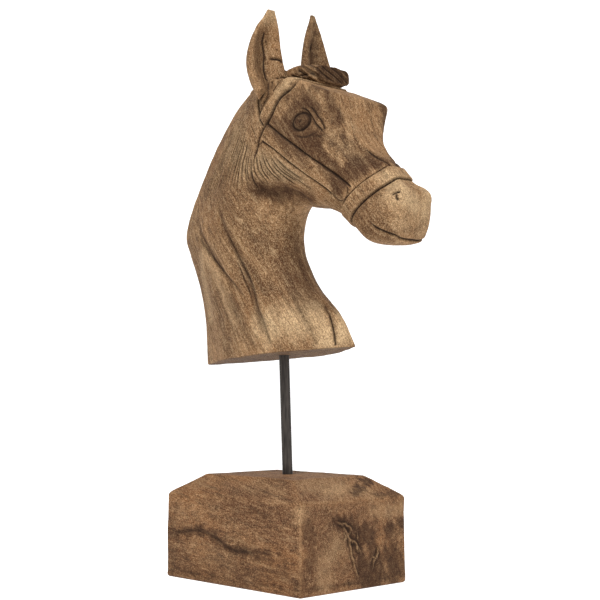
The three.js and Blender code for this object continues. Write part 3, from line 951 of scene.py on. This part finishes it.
# ---- materials ----
class Nodes:
    """A small helper for writing a node material from top to bottom."""

    def __init__(self, name):
        self.material = bpy.data.materials.new(name)
        self.material.use_nodes = True
        self.tree = self.material.node_tree
        self.shader = self.tree.nodes["Principled BSDF"]

    def add(self, kind, inputs=(), **settings):
        node = self.tree.nodes.new("ShaderNode" + kind)
        for key, value in settings.items():
            setattr(node, key, value)
        self.feed(node, dict(inputs))
        return node

    def feed(self, node, inputs):
        """Links a node's inputs to other nodes' outputs, or sets them to plain values."""
        for key, value in inputs.items():
            if isinstance(value, bpy.types.NodeSocket):
                self.tree.links.new(value, node.inputs[key])
            else:
                node.inputs[key].default_value = value

    def place(self, rotation=(0, 0, 0), stretch=1.0, shift=(0, 0, 0)):
        """Object coordinates, drawn out `stretch` times along the turned frame's own Z."""
        where = self.add("TexCoord").outputs["Object"]
        return self.add("Mapping", {"Vector": where, "Rotation": rotation, "Scale": (1, 1, stretch),
                                    "Location": shift}, vector_type="TEXTURE").outputs["Vector"]

    def noise(self, vector, scale, detail=3.0, roughness=0.55, distortion=0.0):
        return self.add("TexNoise", {"Vector": vector, "Scale": scale, "Detail": detail,
                                     "Roughness": roughness, "Distortion": distortion}).outputs["Fac"]

    def range(self, value, low, high, to_low=0.0, to_high=1.0):
        return self.add("MapRange", {"Value": value, "From Min": low, "From Max": high,
                                     "To Min": to_low, "To Max": to_high}).outputs["Result"]

    def maths(self, operation, a, b=0.0):
        return self.add("Math", {0: a, 1: b}, operation=operation).outputs[0]

    def mix(self, factor, a, b):
        node = self.add("Mix", data_type="RGBA")
        self.feed(node, {0: factor, 6: a, 7: b})
        return node.outputs[2]

    def bump(self, height, strength, distance):
        settings = {"Height": height, "Strength": strength, "Distance": distance}
        return self.add("Bump", settings).outputs["Normal"]

    def lay(self, colour, *layers):
        """Lays tones over a colour, each growing in strength as its noise goes from low to high."""
        for value, low, high, strength, tone in layers:
            colour = self.mix(self.range(value, low, high, 0.0, strength), colour, tone)
        return colour

    def attribute(self, name):
        return self.add("Attribute", attribute_name=name).outputs["Fac"]


def srgb(red, green, blue):
    """A colour as it looks on a screen, 0 to 255, in linear light."""
    values = [c / 255 for c in (red, green, blue)]
    return [*(c / 12.92 if c <= 0.04045 else ((c + 0.055) / 1.055) ** 2.4 for c in values), 1.0]


def wood(name, grain, tones):
    """Dry driftwood: broad tone, long streaks, thin growth lines, fibres and grit along the grain."""
    dark, low, mid, high, pale, warm = (srgb(*tone) for tone in tones)
    n = Nodes(name)
    broad = n.noise(n.place(grain, 2.2), 16, 3, 0.5, 0.6)
    patch = n.noise(n.place(grain, 3, (0.3, 0.1, 0.2)), 38, 4, 0.55, 0.8)
    streak = n.noise(n.place(grain, 9, (0.1, 0.2, 0.3)), 150, 4, 0.6, 0.8)
    line = n.noise(n.place(grain, 22, (0.5, 0.2, 0.1)), 330, 4, 0.6, 0.6)
    blush = n.noise(n.place(grain, 2, (0.7, 0.4, 0.2)), 26, 3, 0.5)
    fibre = n.noise(n.place(grain, 12), 900, 2, 0.6)
    grit = n.noise(n.place(grain, 2.2), 1500, 3, 0.7)
    pore = n.noise(n.place(grain, 9, (0.2, 0.4, 0.1)), 1700, 1, 0.5)
    colour = n.mix(n.range(broad, 0.4, 0.6), low, high)
    colour = n.lay(colour, (streak, 0.4, 0.6, 0.7, mid), (blush, 0.5, 0.66, 0.6, warm),
                   (patch, 0.52, 0.7, 0.5, dark), (patch, 0.44, 0.3, 0.5, high),
                   (streak, 0.54, 0.72, 0.55, dark), (line, 0.52, 0.66, 0.6, dark),
                   (line, 0.48, 0.36, 0.3, pale))
    # Paler marks are bleaching, and painted light where they stand in for it.
    bleach_and_highlight = n.maths("MULTIPLY", n.attribute("pale"), n.range(streak, 0.3, 0.65, 0.5, 1.0))
    colour = n.mix(bleach_and_highlight, colour, pale)
    colour = n.mix(n.maths("MULTIPLY", n.attribute("worn"), 0.4), colour, high)
    colour = n.lay(colour, (fibre, 0.7, 0.3, 0.35, dark), (grit, 0.64, 0.3, 0.7, dark),
                   (grit, 0.48, 0.78, 0.6, pale), (pore, 0.55, 0.72, 0.55, dark))
    # The edge of a dark patch, stain and painted shade alike, runs out along the streaks instead of fading
    # evenly.
    torn = n.maths("ADD", n.maths("MULTIPLY", line, 0.7), n.maths("MULTIPLY", streak, 0.9))
    # The dark marks are stains and painted shade together.
    stain_and_shade_amount = n.range(n.maths("ADD", n.attribute("dark"), torn), 0.88, 1.9, 0.0, 0.92)
    stain_and_shade_amount = n.maths("MULTIPLY", stain_and_shade_amount, n.range(grit, 0.38, 0.62, 1.0, 0.8))
    colour = n.mix(stain_and_shade_amount, colour, dark)
    # Cuts and low places are painted near black as shade.
    colour = n.mix(n.maths("MULTIPLY", n.attribute("cut_and_hollow_shade"), 0.95), colour, srgb(30, 19, 12))
    height = n.maths("ADD", n.maths("MULTIPLY", fibre, 0.6), n.maths("MULTIPLY", grit, 0.8))
    n.feed(n.shader, {"Base Color": colour, "Roughness": n.range(fibre, 0.3, 0.7, 0.85, 0.68),
                      "Specular IOR Level": 0.08, "Normal": n.bump(height, 0.45, 0.0008)})
    return n.material


def steel(name):
    """Drawn steel rod: dark, dull, with faint lengthwise marks and a little brown bloom."""
    n = Nodes(name)
    drawn = n.noise(n.place(stretch=12), 700, 3, 0.6)
    bloom = n.noise(n.place(stretch=2), 90, 3, 0.6)
    colour = n.mix(n.range(drawn, 0.3, 0.7), srgb(46, 43, 41), srgb(80, 74, 69))
    colour = n.lay(colour, (bloom, 0.55, 0.75, 0.6, srgb(74, 56, 44)))
    n.feed(n.shader, {"Base Color": colour, "Roughness": n.range(bloom, 0.3, 0.7, 0.38, 0.6),
                      "Metallic": 0.85, "Normal": n.bump(drawn, 0.3, 0.0003)})
    return n.material


def dress(thing, material):
    """Gives a piece one material and no other."""
    thing.data.materials.clear()
    thing.data.materials.append(material)


# The grain's direction as a turned frame whose Z runs along it, and the tones from dark to warm.
HEAD_GRAIN = (0, math.radians(-40), 0)
BASE_GRAIN = (math.radians(12), math.radians(97), 0)
HEAD_TONES = ((52, 32, 20), (104, 72, 45), (132, 96, 63), (164, 126, 88), (218, 187, 144), (142, 97, 58))
BASE_TONES = ((48, 31, 21), (102, 66, 43), (124, 84, 55), (146, 105, 70), (200, 164, 122), (144, 94, 54))
dress(head, wood("head_driftwood", HEAD_GRAIN, HEAD_TONES))
dress(base, wood("base_driftwood", BASE_GRAIN, BASE_TONES))
dress(rod, steel("rod_steel"))


# ---- stage, light and camera ----
def plain(name, colour, roughness, glow):
    """One even colour that also glows, for the floor."""
    n = Nodes(name)
    n.feed(n.shader, {"Base Color": colour, "Roughness": roughness,
                      "Emission Color": colour, "Emission Strength": glow})
    return n.material


def backdrop():
    """A pale floor that sweeps up into a wall far behind the object."""
    start, bend, top = 4.0, 1.5, 6.0
    profile = [(-start, 0), (start, 0)]
    for a in np.linspace(0.15, math.pi / 2, 12):
        profile.append((start + bend * math.sin(a), bend - bend * math.cos(a)))
    profile.append((start + bend, top))
    vertices = [AHEAD * reach + ASIDE * width + Vector((0, 0, z))
                for reach, z in profile for width in (-7, 7)]
    faces = [(2 * i, 2 * i + 1, 2 * i + 3, 2 * i + 2) for i in range(len(profile) - 1)]
    sweep = new_object("floor", vertices, faces)
    sweep.data.shade_smooth()
    return sweep


floor = backdrop()
dress(floor, plain("pale_floor", (0.9, 0.9, 0.9, 1), 0.95, 0.7))


def soft_light(name, place, target, size, power):
    """A square area light, turned towards its target."""
    light = bpy.data.lights.new(name, "AREA")
    light.size = size
    light.energy = power
    thing = bpy.data.objects.new(name, light)
    thing.location = place
    thing.rotation_euler = (Vector(target) - Vector(place)).to_track_quat("-Z", "Y").to_euler()
    bpy.context.scene.collection.objects.link(thing)


MIDDLE = (0.01, 0, 0.26)
soft_light("key", (0.5, -1.0, 1.9), MIDDLE, 0.8, 42)
soft_light("fill", (1.6, 0.2, 0.9), MIDDLE, 1.0, 9)
world = bpy.data.worlds.new("studio")
world.use_nodes = True
sky = world.node_tree.nodes["Background"].inputs
sky["Color"].default_value = (1, 1, 1, 1)
sky["Strength"].default_value = 0.45
bpy.context.scene.world = world
bpy.context.scene.view_settings.view_transform = "Standard"


def place_camera():
    """Looks at the object from its front right, low, and tipped up a little."""
    forward = AHEAD * math.cos(VIEW_PITCH) + Vector((0, 0, math.sin(VIEW_PITCH)))
    up = ASIDE.cross(forward)
    camera = bpy.data.cameras.new("camera")
    camera.sensor_width = 36
    camera.lens = VIEW_LENS
    camera.clip_end = 20
    thing = bpy.data.objects.new("camera", camera)
    place = -AHEAD * VIEW_BACK + ASIDE * VIEW_ASIDE + Vector((0, 0, VIEW_UP))
    thing.matrix_world = Matrix((
        (ASIDE.x, up.x, -forward.x, place.x),
        (ASIDE.y, up.y, -forward.y, place.y),
        (ASIDE.z, up.z, -forward.z, place.z),
        (0, 0, 0, 1),
    ))
    bpy.context.scene.collection.objects.link(thing)
    bpy.context.scene.camera = thing


place_camera()
